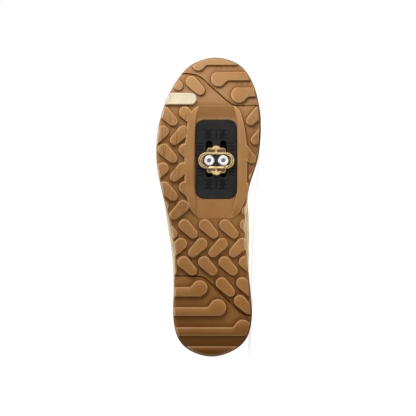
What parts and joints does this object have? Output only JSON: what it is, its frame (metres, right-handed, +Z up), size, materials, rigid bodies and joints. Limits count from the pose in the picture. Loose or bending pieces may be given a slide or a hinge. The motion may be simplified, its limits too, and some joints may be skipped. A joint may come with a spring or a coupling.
{
  "type": "cycling shoe",
  "caption": "Right cycling shoe lying on its medial side, sole facing out: lugged gum outsole with recessed plate, cleat and bolts, cream midsole, hollow laced upper.",
  "frame": {"origin": "centre of the bounding box's footprint, on the floor that the shoe lies on", "axes": "+X from heel to toe, +Y from the sole to the upper's top, +Z up, which is the shoe's lateral side"},
  "size_m": [0.2968, 0.1194, 0.1027],
  "materials": {
    "gum_rubber": "satin moulded gum rubber",
    "cream_rubber": "satin moulded rubber",
    "black_nylon": "fine matt, glass-filled",
    "cleat_brass": "cast, lightly blasted",
    "dark_steel": "dark, matt",
    "bolt_steel": "bright, turned",
    "midsole_foam": "matt foam skin",
    "insole_cloth": "short knit over foam",
    "upper_microfibre": "matt microfibre with fine grain",
    "overlay_film": "matt film",
    "tongue_cloth": "padded mesh",
    "lace_cord": "woven round cord"
  },
  "bodies": {
    "root": {"outsole": "gum_rubber", "side_tab": "cream_rubber", "cleat_plate": "black_nylon", "cleat": "cleat_brass", "cleat_washer": "dark_steel", "bolt_lateral": "bolt_steel", "bolt_medial": "bolt_steel", "midsole": "midsole_foam", "insole": "insole_cloth", "upper": "upper_microfibre", "toe_cap": "overlay_film", "heel_counter": "overlay_film", "tongue": "tongue_cloth", "laces": "lace_cord"}
  },
  "joints": []
}
